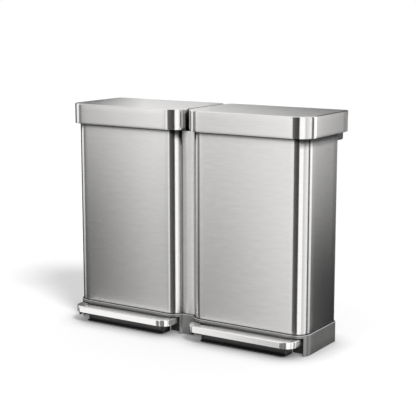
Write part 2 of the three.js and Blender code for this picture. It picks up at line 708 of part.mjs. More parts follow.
function makeBin(side) {
  const bin = new THREE.Group();
  const add = (name, made, material, x = 0, y = 0, z = 0) => {
    const piece = mesh(`${side}_${name}`, made, material);
    piece.position.set(x, y, z);
    bin.add(piece);
    return piece;
  };
  add("body_shell", bodyShell(), brushedSteel);
  add("rim_collar", rimCollar(), blackPlastic);
  add("bucket", bucket(), bucketPlastic);
  add("hinge_housing", hingeHousing(), basePlastic);
  const hingeAxle = rodAlongX(AXLE_RADIUS, -HOUSING_AXLE_HALF, HOUSING_AXLE_HALF, HINGE_Y, HINGE_Z);
  add("hinge_axle", hingeAxle, zincSteel);
  const screwStart = HOUSING_BACK + GAP - SCREW_LENGTH;
  add("housing_screw_1", housingScrew(), zincSteel, -SCREW_X, screwStart, SCREW_Z);
  add("housing_screw_2", housingScrew(), zincSteel, SCREW_X, screwStart, SCREW_Z);
  add("kick_plate", kickPlate(), blackPlastic);
  const pedalAxle = rodAlongX(AXLE_RADIUS, -PEDAL_AXLE_HALF, PEDAL_AXLE_HALF, PIVOT_Y, PIVOT_Z);
  add("pedal_axle", pedalAxle, zincSteel);
  add("rod_guide", rodGuide(), blackPlastic);
  add("damper_cylinder", damperCylinder(), blackPlastic);
  add("front_foot", frontFoot(), rubber);
  REAR_FEET.forEach(([x, y], i) => add(`rear_foot_${i + 1}`, rearFoot(), rubber, x, y));

  add("lid_shell", lidShell(), brushedSteel);
  add("lid_liner", lidLiner(), blackPlastic);
  add("hinge_arm_1", hingeArm(), zincSteel, -ARM_X);
  add("hinge_arm_2", hingeArm(), zincSteel, ARM_X);
  add("lid_crank", lidCrank(), zincSteel);
  add("crank_pin", crankPin(), zincSteel);
  add("lid_bumper_1", lidBumper(), rubber, -BUMPER_X, BUMPER_Y, COLLAR_TOP + GAP);
  add("lid_bumper_2", lidBumper(), rubber, BUMPER_X, BUMPER_Y, COLLAR_TOP + GAP);

  add("pedal_cover", pedalCover(), pedalSteel);
  add("pedal_lever", pedalLever(), blackSteel);

  add("push_rod", pushRod(), zincSteel);
  add("rod_clevis", rodClevis(), zincSteel);
  add("damper_rod", damperRod(), zincSteel);
  return bin;
}

const object = new THREE.Group();
object.position.y = FRONT_Y;
object.add(mesh("base_housing", baseHousing(), basePlastic));
object.add(mesh("front_bridge_panel", frontBridgePanel(), brushedSteel));
object.add(mesh("rear_bridge_panel", rearBridgePanel(), brushedSteel));
for (const [side, x] of [
  ["left", -BIN_X],
  ["right", BIN_X],
]) {
  const bin = makeBin(side);
  bin.position.x = x;
  object.add(bin);
}

export default object;
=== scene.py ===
import json
import math

import bmesh
import bpy
import numpy as np
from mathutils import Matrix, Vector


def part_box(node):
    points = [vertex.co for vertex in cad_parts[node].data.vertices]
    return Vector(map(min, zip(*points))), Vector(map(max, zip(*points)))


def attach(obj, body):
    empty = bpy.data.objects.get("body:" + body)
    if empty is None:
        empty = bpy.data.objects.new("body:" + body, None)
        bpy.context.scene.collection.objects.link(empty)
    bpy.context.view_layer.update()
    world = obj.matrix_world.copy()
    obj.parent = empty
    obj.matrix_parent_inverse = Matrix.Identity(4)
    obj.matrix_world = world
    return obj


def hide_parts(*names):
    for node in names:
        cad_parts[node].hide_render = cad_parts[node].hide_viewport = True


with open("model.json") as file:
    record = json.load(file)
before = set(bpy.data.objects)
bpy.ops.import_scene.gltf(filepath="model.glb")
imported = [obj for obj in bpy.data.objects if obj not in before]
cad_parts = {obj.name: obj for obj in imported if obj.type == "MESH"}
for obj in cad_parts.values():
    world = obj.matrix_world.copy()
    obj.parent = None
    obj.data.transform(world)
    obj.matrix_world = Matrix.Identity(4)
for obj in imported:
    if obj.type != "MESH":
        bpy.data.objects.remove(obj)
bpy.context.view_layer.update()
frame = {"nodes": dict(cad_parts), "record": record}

scene = bpy.context.scene
join = np.concatenate
sides = ("left", "right")
tiny = 1e-5  # two places closer than this are the same
print("frame loaded:", len(frame["nodes"]), "nodes")


# Sizes are written in millimetres and kept in metres.
def inMetres(**sizes):
    return {name: np.multiply(size, 0.001) for name, size in sizes.items()}


# A line of points is (n, 2), and its outward side is to the right of the way it runs. A point's normal is
# the mitre of its two neighbours' normals: their sum divided by one plus their dot product.
def outwardNormals(line, closed=True):
    before = np.roll(line, 1, 0)
    after = np.roll(line, -1, 0)
    if not closed:
        before[0] = 2 * line[0] - line[1]
        after[-1] = 2 * line[-1] - line[-2]

    def rightOf(step):
        return np.stack([step[:, 1], -step[:, 0]], 1) / np.linalg.norm(step, axis=1, keepdims=True)

    first, second = rightOf(line - before), rightOf(after - line)
    return (first + second) / (1 + np.sum(first * second, 1, keepdims=True))


# Points on a circle: the centre plus the radius times (cos, sin) of each angle, in degrees.
def circlePoints(centreX, centreY, radius, degrees):
    angle = np.radians(degrees)
    return np.stack([centreX + radius * np.cos(angle), centreY + radius * np.sin(angle)], 1)


def arcLine(centreX, centreY, radius, start, end, steps):
    return circlePoints(centreX, centreY, radius, np.linspace(start, end, steps + 1))


# Points between two ends, without the ends: they share out the line evenly, and named stops are added.
def betweenPoints(start, end, count, stops=()):
    share = np.linspace(0, 1, count + 1)[1:-1]
    share = np.unique(join([share, [s for s in stops if 0 < s < 1]]))
    return np.asarray(start) + share[:, None] * (np.asarray(end) - np.asarray(start))


# A rounded rectangle that starts in the middle of the back and runs anticlockwise. stopX are places along
# the back where a cut-out begins, from its middle, and stopY are places along both sides.
def roundedPlan(plan, grow=0.0, stopX=(), stopY=()):
    left, right = plan["left"] - grow, plan["right"] + grow
    front, back = plan["front"] - grow, plan["back"] + grow
    frontR, backR = plan["frontRadius"] + grow, plan["backRadius"] + grow
    frontSteps, backSteps = plan.get("frontSteps", 20), plan.get("backSteps", 8)
    middle = (left + right) / 2
    run = left + backR - middle  # from the middle to the left end of the back, as a negative length
    sideStart, sideEnd = back - backR, front + frontR
    down = [(y - sideStart) / (sideEnd - sideStart) for y in stopY]
    return join([
        [[middle, back]],
        betweenPoints((middle, back), (left + backR, back), 4, [x / run for x in stopX]),
        arcLine(left + backR, sideStart, backR, 90, 180, backSteps),
        betweenPoints((left, sideStart), (left, sideEnd), 6, down),
        arcLine(left + frontR, sideEnd, frontR, 180, 270, frontSteps),
        betweenPoints((left + frontR, front), (right - frontR, front), plan.get("faceSteps", 16)),
        arcLine(right - frontR, sideEnd, frontR, 270, 360, frontSteps),
        betweenPoints((right, sideEnd), (right, sideStart), 6, [1 - share for share in down]),
        arcLine(right - backR, sideStart, backR, 0, 90, backSteps),
        betweenPoints((right - backR, back), (middle, back), 4, [1 + x / run for x in stopX]),
    ])


# The plan of a node's box, drawn in by an inset, with the corner radii of a piece's own sizes.
def planOfNode(node, sizes, inset=0.0, **steps):
    low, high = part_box(node)
    return {"left": low.x + inset, "right": high.x - inset, "front": low.y + inset, "back": high.y - inset,
            "frontRadius": sizes["frontRadius"], "backRadius": sizes["backRadius"], **steps}


# Flat points (..., 2) get a height each.
def lift(flat, height):
    height = np.asarray(height, float)[..., None]
    return join([flat, np.broadcast_to(height, flat.shape[:-1] + (1,))], -1)


# Rows of points become faces between neighbouring rows and columns. A face's outward side is the column
# direction crossed with the row direction, and keep has one truth value for each face. A part is a
# dictionary of points, faces and one uv for each face corner.
def gridPart(points, uv, wrap=True, keep=slice(None)):
    rows, columns = points.shape[:2]
    row, column = np.meshgrid(np.arange(rows - 1), np.arange(columns if wrap else columns - 1), indexing="ij")
    if uv.shape[1] == columns:
        uv = join([uv, uv[:, :1]], 1)

    def quads(width, following):
        ring = [row * width + column, row * width + following,
                (row + 1) * width + following, (row + 1) * width + column]
        return np.stack(ring, -1)[keep].reshape(-1, 4)

    corners = quads(columns + 1, column + 1)
    return {"points": points.reshape(-1, 3), "faces": quads(columns, (column + 1) % columns),
            "uv": uv.reshape(-1, 2)[corners].reshape(-1, 2)}


# Parts are laid one after another: each part's faces are moved on by the points before it.
def joinParts(*parts):
    starts = np.cumsum([0] + [len(p["points"]) for p in parts[:-1]])
    return {
        "points": join([p["points"] for p in parts]),
        "faces": join([p["faces"] + start for p, start in zip(parts, starts)]),
        "uv": join([p["uv"] for p in parts]),
    }


# Length along a line of points, starting at 0. A closed line gets one more value, its whole length.
def lengthAlong(line, closed):
    following = np.roll(line, -1, 0) if closed else line[1:]
    step = np.linalg.norm(following - line[:len(following)], axis=1)
    return join([[0], np.cumsum(step)])


# A sheet that follows a line: row k is the line moved outwards by offset k, at height k.
# Its uv is (distance along the profile, distance along the line), in metres.
def profileSheet(line, offsets, heights, closed=True):
    offsets, heights = np.asarray(offsets, float), np.asarray(heights, float)
    flat = line[None] + offsets[:, None, None] * outwardNormals(line, closed)[None]
    up = join([[0], np.cumsum(np.hypot(np.diff(offsets), np.diff(heights)))])
    uv = np.stack(np.broadcast_arrays(up[:, None], lengthAlong(line, closed)[None]), 2)
    return lift(flat, heights[:, None]), uv


# A round edge between an upright face and a level one: a quarter circle inwards in offset and up in height.
def roundEdge(offset, height, radius, steps=5):
    angle = np.radians(np.linspace(0, 90, steps + 1))
    return offset - radius * (1 - np.cos(angle)), height - radius * (1 - np.sin(angle))


# A closed plate between two heights, round along its edges. Each of its two faces shrinks to its middle.
def slabPart(line, bottom, top, radius, steps=3):
    offset, height = roundEdge(0, top, radius, steps)
    offsets = join([offset[::-1], offset])
    heights = join([bottom + top - height[::-1], height])
    points, uv = profileSheet(line, offsets, heights)
    middle = np.broadcast_to((line.min(0) + line.max(0)) / 2, line.shape)
    points = join([lift(middle, bottom)[None], points, lift(middle, top)[None]])
    return gridPart(points, join([uv[:1], uv, uv[-1:]]))


def boxLine(left, right, front, back):
    return np.array([[left, front], [right, front], [right, back], [left, back]], float)


# A line from the back along a box's left side, round both front corners, and back along its right side.
def frontLine(low, high, front, back, radius, cornerSteps, faceSteps=1, sideSteps=1):
    left, right, turn = low.x + radius, high.x - radius, front + radius
    return join([
        [[low.x, back]],
        betweenPoints((low.x, back), (low.x, turn), sideSteps),
        arcLine(left, turn, radius, 180, 270, cornerSteps),
        betweenPoints((left, front), (right, front), faceSteps),
        arcLine(right, turn, radius, 270, 360, cornerSteps),
        betweenPoints((high.x, turn), (high.x, back), sideSteps),
        [[high.x, back]],
    ])


def addObject(name, data):
    item = bpy.data.objects.new(name, data)
    scene.collection.objects.link(item)
    return item


# A uv has one place for each face corner.
def addMesh(name, points, faces, uvName=None, uv=None):
    mesh = bpy.data.meshes.new(name)
    mesh.from_pydata(np.asarray(points).tolist(), [], np.asarray(faces).tolist())
    if uvName:
        mesh.uv_layers.new(name=uvName).data.foreach_set("uv", np.asarray(uv, np.float32).ravel())
    return addObject(name, mesh)


finishing = {"merge": 1e-6, "degenerate": 1e-7, "bevelAngle": 50, "sharpAngle": 38, "holeSides": 12}


# A part becomes an object: doubles are merged, a sheet gets its thickness inwards and small round edges, and
# edges over an angle stay sharp. Then it gets its finish and its body, and the node it stands for is hidden.
def makePiece(name, part, body, node, slot, material, sheet=None, closeHoles=False):
    used, faces = np.unique(part["faces"], return_inverse=True)
    item = addMesh(name, part["points"][used], faces.reshape(-1, 4), "grain", part["uv"])
    shell = bmesh.new()
    shell.from_mesh(item.data)
    bmesh.ops.remove_doubles(shell, verts=shell.verts, dist=finishing["merge"])
    if closeHoles:
        rims = [edge for edge in shell.edges if edge.is_boundary]
        bmesh.ops.holes_fill(shell, edges=rims, sides=finishing["holeSides"])
        bmesh.ops.recalc_face_normals(shell, faces=shell.faces)
    bmesh.ops.dissolve_degenerate(shell, edges=shell.edges, dist=finishing["degenerate"])
    shell.to_mesh(item.data)
    shell.free()
    if sheet:
        solidify = item.modifiers.new("thickness", "SOLIDIFY")
        solidify.thickness = sheet["thickness"]
        solidify.offset = -1
        solidify.use_even_offset = True
        bevel = item.modifiers.new("edges", "BEVEL")
        bevel.width = sheet["hem"]
        bevel.segments = 2
        bevel.limit_method = "ANGLE"
        bevel.angle_limit = math.radians(finishing["bevelAngle"])
        depsgraph = bpy.context.evaluated_depsgraph_get()
        finished = bpy.data.meshes.new_from_object(item.evaluated_get(depsgraph))
        item.modifiers.clear()
        item.data = finished
    item.data.shade_smooth()
    item.data.set_sharp_from_angle(angle=math.radians(finishing["sharpAngle"]))
    item.data.materials.append(material)
    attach(item, body)
    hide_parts(node)


# Adds a shader node after the others, sets its properties, and fills its inputs with numbers or links.
def put(tree, kind, inputs=None, **properties):
    node = tree.nodes.new("ShaderNode" + kind)
    row, column = divmod(len(tree.nodes), 6)
    node.location = (240 * column, -320 * row)
    for name, value in properties.items():
        setattr(node, name, value)
    for socket, value in (inputs or {}).items():
        if isinstance(value, bpy.types.NodeSocket):
            tree.links.new(value, node.inputs[socket])
        else:
            node.inputs[socket].default_value = value
    return node


def calculate(tree, operation, *values):
    return put(tree, "Math", dict(enumerate(values)), operation=operation).outputs[0]


# A value that runs from low to high as a mask goes from start to end, evenly or in an S curve.
def spread(tree, mask, low=0.0, high=1.0, start=0.0, end=1.0, curve="LINEAR"):
    ends = {"Value": mask, "From Min": start, "From Max": end, "To Min": low, "To Max": high}
    return put(tree, "MapRange", ends, interpolation_type=curve).outputs["Result"]


def mixValues(tree, mask, first, second):
    return put(tree, "Mix", {0: mask, 2: first, 3: second}).outputs[0]


def mixColours(tree, mask, first, second, blend="MIX"):
    ends = {0: mask, 6: first, 7: second}
    return put(tree, "Mix", ends, data_type="RGBA", blend_type=blend).outputs[2]


def noise(tree, vector, scale, detail, roughness=0.5, distortion=0.0):
    look = {"Vector": vector, "Scale": scale, "Detail": detail, "Roughness": roughness,
            "Distortion": distortion}
    return put(tree, "TexNoise", look).outputs["Fac"]


groups = {}


# An effect that several finishes share. An input without a number is a vector.
def newGroup(name, inputs, outputs):
    group = bpy.data.node_groups.new(name, "ShaderNodeTree")
    for socket, value in inputs.items():
        kind = "NodeSocketVector" if value is None else "NodeSocketFloat"
        made = group.interface.new_socket(name=socket, in_out="INPUT", socket_type=kind)
        if value is not None:
            made.default_value = value
    for socket in outputs:
        group.interface.new_socket(name=socket, in_out="OUTPUT", socket_type="NodeSocketFloat")
    groups[name] = group
    return group, group.nodes.new("NodeGroupInput").outputs


def closeGroup(group, **results):
    end = group.nodes.new("NodeGroupOutput")
    for socket, value in results.items():
        group.links.new(value, end.inputs[socket])


def placeGroup(tree, name, **inputs):
    return put(tree, "Group", inputs, node_tree=groups[name])


# Brushed lines: noise on a plane that is very fine across the grain and long along it, in two sizes.
group, given = newGroup("brushedGrain", {"Vector": None, "Across": 640.0, "Along": 32.0}, ["Lines", "Broad"])
size = put(group, "CombineXYZ", {"X": given["Across"], "Y": given["Along"], "Z": 1.0})
fine = put(group, "VectorMath", {0: given["Vector"], 1: size.outputs[0]}, operation="MULTIPLY")
wide = put(group, "VectorMath", {0: fine.outputs[0], 1: (0.16, 0.35, 1)}, operation="MULTIPLY")
closeGroup(group, Lines=noise(group, fine.outputs[0], 1.0, 3.0, 0.65),
                  Broad=noise(group, wide.outputs[0], 1.0, 2.0))

# Handling: wide soft patches where hands and cloths have passed.
group, given = newGroup("handling", {"Vector": None, "Size": 6.0}, ["Patches"])
cloud = noise(group, given["Vector"], given["Size"], 4.0, 0.55, 0.4)
closeGroup(group, Patches=spread(group, cloud, start=0.35, end=0.7, curve="SMOOTHSTEP"))

# Worn edges: where the surface turns sharply, broken up by noise so that the line isn't even.
group, given = newGroup("edgeWear", {"Vector": None, "Start": 0.52, "End": 0.6}, ["Wear"])
pointed = put(group, "NewGeometry").outputs["Pointiness"]
edge = spread(group, pointed, start=given["Start"], end=given["End"])
broken = calculate(group, "MULTIPLY", edge, noise(group, given["Vector"], 140.0, 2.0))
closeGroup(group, Wear=broken)

# Moulded texture: fine rounded grains from cells, over a soft unevenness of the moulding.
group, given = newGroup("mouldGrain", {"Vector": None, "Grain": 900.0}, ["Height", "Shade"])
cells = put(group, "TexVoronoi", {"Vector": given["Vector"], "Scale": given["Grain"]}, feature="SMOOTH_F1")
soft = noise(group, given["Vector"], 30.0, 3.0, 0.6)
closeGroup(group, Height=calculate(group, "MULTIPLY_ADD", cells.outputs["Distance"], 0.5, soft),
                  Shade=soft)

# Painted shade in narrow places: a factor for the base colour from how open the surface is to its
# surroundings within a short distance. Below the closed share it is fully dark, and above the open share it
# is untouched.
group, given = newGroup("contact", {"Distance": 0.03, "Dark": 0.3, "Closed": 0.45, "Open": 0.92}, ["Shade"])
openness = put(group, "AmbientOcclusion", {"Distance": given["Distance"]}, samples=8)
closeGroup(group, Shade=spread(group, openness.outputs["AO"], given["Dark"], 1.0, given["Closed"],
                               given["Open"], "SMOOTHSTEP"))


def newMaterial(name):
    material = bpy.data.materials.new(name)
    material.use_nodes = True
    material.node_tree.nodes.clear()
    return material, material.node_tree


# The shader takes its steady values on its own sockets, and colour, gloss and bump from the other nodes.
def addShader(tree, steady, base, gloss, height, bump, depth, **more):
    raised = put(tree, "Bump", {"Strength": bump, "Distance": depth, "Height": height})
    shader = put(tree, "BsdfPrincipled", {**steady, "Base Color": base, "Roughness": gloss,
                 "Normal": raised.outputs[0], **more})
    put(tree, "OutputMaterial", {"Surface": shader.outputs[0]})


def partOf(tree, vector, axis):
    return put(tree, "SeparateXYZ", {0: vector}).outputs[axis]


warmth = 0.012  # every finish here is a very slightly warm grey


# A grey, made warmer by a share of its level.
def grey(level, warm=0.0):
    return (level * (1 + warm), level, level * (1 - warm), 1.0)


underLid = {
    "height": (0.545, 0.575), "turned": (0.2, 0.5), "closed": (0.60, 0.84), "open": (0.90, 0.99),
}


# Under the lid the shade reaches further, and furthest on the sides and round corners, where the normal
# turns away from the front.
def shadeUnderLid(tree, contact, look, place):
    high = spread(tree, partOf(tree, place, "Z"), 0.0, 1.0, *underLid["height"])
    normal = put(tree, "NewGeometry").outputs["Normal"]
    sideways = calculate(tree, "ABSOLUTE", partOf(tree, normal, "X"))
    both = calculate(tree, "MULTIPLY", spread(tree, sideways, 0.0, 1.0, *underLid["turned"]), high)
    tree.links.new(spread(tree, high, look["contact"], look["lidReach"]), contact.inputs["Distance"])
    tree.links.new(spread(tree, both, *underLid["closed"]), contact.inputs["Closed"])
    tree.links.new(spread(tree, both, *underLid["open"]), contact.inputs["Open"])


brushing = {
    "lines": (0.3, 0.7), "broad": (0.35, 0.75), "broadShare": 0.25, "broadDark": 0.94, "wornLight": 1.06,
    "patches": 5.0, "cut": 0.00004,
}


# Brushed sheet: the highlight is drawn out across the grain, because the uv's first axis is the
# shader's tangent. Lines vary the colour and the gloss, and are cut as a very shallow bump.
def brushedSteel(name, look):
    material, tree = newMaterial(name)
    places = put(tree, "TexCoord").outputs
    tangent = put(tree, "Tangent", direction_type="UV_MAP", uv_map="grain")
    grain = placeGroup(tree, "brushedGrain", Vector=places["UV"], Across=look["across"],
                       Along=look["along"]).outputs
    patches = placeGroup(tree, "handling", Vector=places["Object"], Size=brushing["patches"])
    wear = placeGroup(tree, "edgeWear", Vector=places["Object"]).outputs["Wear"]
    lines = spread(tree, grain["Lines"], 0.0, 1.0, *brushing["lines"])
    base = mixColours(tree, lines, grey(look["dark"], warmth), grey(look["light"], warmth))
    broad = spread(tree, grain["Broad"], 0.0, brushing["broadShare"], *brushing["broad"])
    base = mixColours(tree, broad, base, grey(look["dark"] * brushing["broadDark"], warmth))
    base = mixColours(tree, wear, base, grey(look["light"] * brushing["wornLight"], warmth))
    contact = placeGroup(tree, "contact", Distance=look["contact"], Dark=look["seam"])
    if "lidReach" in look:
        shadeUnderLid(tree, contact, look, places["Object"])
    # painted shade: the base colour is darkened in narrow places and, on the body, under the lid
    base = mixColours(tree, 1.0, base, contact.outputs["Shade"], "MULTIPLY")
    gloss = spread(tree, lines, look["smooth"], look["rough"])
    gloss = calculate(tree, "MULTIPLY_ADD", patches.outputs["Patches"], look["smudge"], gloss)
    addShader(tree, {"Metallic": look["metallic"], "Anisotropic": look["anisotropy"]}, base, gloss,
              grain["Lines"], look["bump"], brushing["cut"], Tangent=tangent.outputs[0])
    return material


moulding = {"patches": 9.0, "polish": 0.07, "lipBlend": 0.001, "cut": 0.00015}


# Moulded plastic: a fine grain in the bump, a slow random change of tone, paler worn edges, painted shade in
# narrow places and, where a lip height is given, a painted highlight above it.
def mouldedPlastic(name, **look):
    material, tree = newMaterial(name)
    place = put(tree, "TexCoord").outputs["Object"]
    grain = placeGroup(tree, "mouldGrain", Vector=place, Grain=look["grain"]).outputs
    patches = placeGroup(tree, "handling", Vector=place, Size=moulding["patches"]).outputs["Patches"]
    wear = placeGroup(tree, "edgeWear", Vector=place).outputs["Wear"]
    base = mixColours(tree, grain["Shade"], grey(look["dark"], warmth), grey(look["light"], warmth))
    base = mixColours(tree, wear, base, grey(look["worn"]))
    contact = placeGroup(tree, "contact", Distance=look["contact"], Dark=look["seam"])
    # painted shade: the base colour is darkened in narrow places
    base = mixColours(tree, 1.0, base, contact.outputs["Shade"], "MULTIPLY")
    if "lip" in look:  # painted highlight: above this height the top of the lip is painted paler
        lip = look["lip"]
        rim = spread(tree, partOf(tree, place, "Z"), 0.0, 1.0, lip - moulding["lipBlend"], lip)
        base = mixColours(tree, rim, base, grey(look["rim"]))
    gloss = spread(tree, patches, look["rough"], look["rough"] - moulding["polish"])
    steady = {"Metallic": 0.0, "Specular IOR Level": look["specular"], "IOR": look.get("ior", 1.5)}
    addShader(tree, steady, base, gloss, grain["Height"], look["bump"], moulding["cut"])
    return material


plating = {"cloud": (60.0, 4.0, 0.6), "range": (0.3, 0.7), "bump": 0.15, "cut": 0.0001}


# Plated or coated metal on the mechanism: cloudy plating, rubbed brighter at the edges.
def platedMetal(name, **look):
    material, tree = newMaterial(name)
    place = put(tree, "TexCoord").outputs["Object"]
    cloud = noise(tree, place, *plating["cloud"])
    wear = placeGroup(tree, "edgeWear", Vector=place).outputs["Wear"]
    base = mixColours(tree, cloud, look["dark"], look["light"])
    base = mixColours(tree, wear, base, look["worn"])
    gloss = spread(tree, cloud, look["smooth"], look["rough"], *plating["range"])
    addShader(tree, {"Metallic": look["metallic"]}, base, gloss, cloud, plating["bump"], plating["cut"])
    return material


# Each finish gives the reach and the darkest share of its painted shade in narrow places.
sheetLook = {
    "metallic": 1.0, "dark": 0.655, "light": 0.725, "smooth": 0.205, "rough": 0.235, "smudge": 0.012,
    "anisotropy": 0.93, "across": 640.0, "along": 32.0, "bump": 0.02, "contact": 0.010, "seam": 0.05,
}
bodySteel = brushedSteel("bodySteel", {**sheetLook, "lidReach": 0.05})
lidSteel = brushedSteel("lidSteel", {**sheetLook, "contact": 0.0135})
panelSteel = brushedSteel("panelSteel", {**sheetLook, "metallic": 0.5, "dark": 0.62, "light": 0.72,
                          "contact": 0.006})
pedalSteel = brushedSteel("pedalSteel", {
    "metallic": 0.85, "dark": 0.80, "light": 0.88, "smooth": 0.17, "rough": 0.21, "smudge": 0.02,
    "anisotropy": 0.7, "across": 900.0, "along": 30.0, "bump": 0.04, "contact": 0.006, "seam": 0.12,
})
basePlastic = mouldedPlastic("basePlastic",
    dark=0.116, light=0.136, worn=0.22, rough=0.27, specular=1.0, ior=1.72, grain=1500.0,
    bump=0.12, contact=0.005, seam=0.5, lip=0.0592, rim=0.42,
)
housingPlastic = mouldedPlastic("housingPlastic",
    dark=0.045, light=0.065, worn=0.12, rough=0.55, specular=0.45, grain=900.0, bump=0.4,
    contact=0.03, seam=0.3,
)
blackPlastic = mouldedPlastic("blackPlastic",
    dark=0.016, light=0.024, worn=0.05, rough=0.40, specular=0.5, grain=1300.0, bump=0.2,
    contact=0.02, seam=0.3,
)
bucketPlastic = mouldedPlastic("bucketPlastic",
    dark=0.040, light=0.055, worn=0.09, rough=0.5, specular=0.4, grain=1100.0, bump=0.3,
    contact=0.03, seam=0.3,
)
rubber = mouldedPlastic("rubber",
    dark=0.008, light=0.014, worn=0.03, rough=0.85, specular=0.25, grain=700.0, bump=0.5,
    contact=0.01, seam=0.3,
)
zincSteel = platedMetal("zincSteel",
    dark=(0.42, 0.43, 0.45, 1), light=(0.56, 0.57, 0.58, 1), worn=(0.7, 0.7, 0.7, 1),
    smooth=0.32, rough=0.46, metallic=1.0,
)
blackSteel = platedMetal("blackSteel",
    dark=(0.010, 0.010, 0.011, 1), light=(0.018, 0.018, 0.019, 1), worn=(0.05, 0.05, 0.05, 1),
    smooth=0.36, rough=0.48, metallic=0.0,
)
print("finishes made:", len(bpy.data.materials))

bodySheet = inMetres(frontRadius=38, backRadius=12, thickness=1, hem=0.25, crown=1, notchHalf=14,
                     notchBottom=562)


# The body's wall: an upright sheet round the plan. The front is crowned: a point moves forward by the
# crown times (1 - u squared) times (1 - v squared), with u and v from -1 to 1 across and up the face.
def makeBody(side, node, low, high):
    notch = bodySheet["notchHalf"]
    line = roundedPlan(planOfNode(node, bodySheet, faceSteps=28), stopX=(-notch, notch))
    heights = np.unique(join([np.linspace(low.z, high.z, 25), [bodySheet["notchBottom"]]]))
    points, uv = profileSheet(line, np.zeros(len(heights)), heights)
    middle = (low.x + high.x) / 2
    half = (high.x - low.x) / 2 - bodySheet["frontRadius"]
    across = np.clip((points[..., 0] - middle) / half, -1, 1)
    up = (points[..., 2] - low.z) / (high.z - low.z) * 2 - 1
    onFace = points[..., 1] < low.y + tiny
    points[..., 1] -= np.where(onFace, bodySheet["crown"] * (1 - across**2) * (1 - up**2), 0)
    centres = (line + np.roll(line, -1, 0)) / 2
    inNotch = (abs(centres[:, 0] - middle) < notch) & (centres[:, 1] > high.y - tiny)
    keep = ~(inNotch[None] & (heights[:-1, None] > bodySheet["notchBottom"] - tiny))
    makePiece(f"{side}BodySheet", gridPart(points, uv, keep=keep), "frame", node, "brushed_steel", bodySteel,
              bodySheet)


lidSheet = inMetres(frontRadius=50, backRadius=20, thickness=1, hem=0.35, edge=3.2, crown=0.5, cutHalf=181,
                    cutTop=622, cutDepth=2, edgeRow=6)


# The lid: upright sides, a round edge, and a top that shrinks towards its middle. The top rises by the
# crown times (1 - share squared), where the share is 1 at the edge and 0 in the middle.
def makeLid(side, node, low, high):
    line = roundedPlan(planOfNode(node, lidSheet, frontSteps=26, backSteps=7))
    edgeTop = high.z - lidSheet["crown"]
    edgeOffset, edgeHeight = roundEdge(0, edgeTop, lidSheet["edge"], 6)
    cutTop = lidSheet["cutTop"]
    sideHeights = [low.z, low.z + lidSheet["edgeRow"], cutTop, 0.5 * (cutTop + edgeHeight[0])]
    heights = join([sideHeights, edgeHeight])
    points, uv = profileSheet(line, join([np.zeros(len(sideHeights)), edgeOffset]), heights)
    middle = np.array([(low.x + high.x) / 2, (low.y + high.y) / 2])
    share = np.array([0.97, 0.9, 0.75, 0.55, 0.3, 0.0])
    flat = middle + share[:, None, None] * (points[-1, :, :2] - middle)[None]
    top = lift(flat, (edgeTop + lidSheet["crown"] * (1 - share**2))[:, None])
    top = join([points[-1:], top])
    topUv = top[..., 1::-1]  # the grain runs across the top from side to side
    centres = (line + np.roll(line, -1, 0)) / 2
    cut = abs(centres[:, 0] - middle[0]) < lidSheet["cutHalf"]
    cut &= centres[:, 1] > high.y - lidSheet["cutDepth"]
    keep = ~(cut[None] & (heights[:-1, None] < cutTop - tiny))
    makePiece(f"{side}LidSheet", joinParts(gridPart(points, uv, keep=keep), gridPart(top, topUv)),
              f"{side}_lid", node, "brushed_steel", lidSteel, lidSheet)


pedalPlate = inMetres(radius=30, thickness=1.5, hem=0.35, edge=2.6, edgeRow=6, flange=(12, 20, 28.5))


# The pedal: a U seen from above. A band hangs from its outer edge, and a level flange runs inwards.
def makePedal(side, node, low, high):
    flange = pedalPlate["flange"]
    line = frontLine(low, high, low.y, high.y, pedalPlate["radius"], 18, 12, 3)
    edgeOffset, edgeHeight = roundEdge(0, high.z, pedalPlate["edge"], 6)
    offsets = join([[0, 0], edgeOffset, -flange])
    heights = join([[low.z, low.z + pedalPlate["edgeRow"]], edgeHeight, np.full(len(flange), high.z)])
    plate = gridPart(*profileSheet(line, offsets, heights, closed=False), wrap=False)
    makePiece(f"{side}PedalPlate", plate, f"{side}_pedal", node, "pedal_steel", pedalSteel,
              pedalPlate)


kickWall = inMetres(radius=7, thickness=2.7, hem=0.3, chamfer=0.6, wallFront=9, ledge=2.5, ledgeRadius=10,
                    ledgeEdge=0.6, overlap=2)


# The kick plate: an upright wall with round front corners, over a thin ledge just off the floor.
def makeKickPlate(side, node, low, high):
    front, chamfer = low.y + kickWall["wallFront"], kickWall["chamfer"]
    carried = ("frame", node, "black_plastic", blackPlastic)
    line = frontLine(low, high, front, high.y, kickWall["radius"], 8, 6)
    wall = profileSheet(line, [0, 0, -chamfer], [low.z, high.z - chamfer, high.z], closed=False)
    makePiece(f"{side}KickWall", gridPart(*wall, wrap=False), *carried, kickWall)
    line = frontLine(low, high, low.y, front + kickWall["overlap"], kickWall["ledgeRadius"], 8)
    ledge = slabPart(line, low.z, low.z + kickWall["ledge"], kickWall["ledgeEdge"])
    makePiece(f"{side}KickLedge", ledge, *carried)


hingeBox = inMetres(lower=6, upper=10, end=3, thickness=2.5, hem=0.4, slots=(-150, 0, 150), slotHalf=3.5,
                    slotBack=228, slotDeep=6)


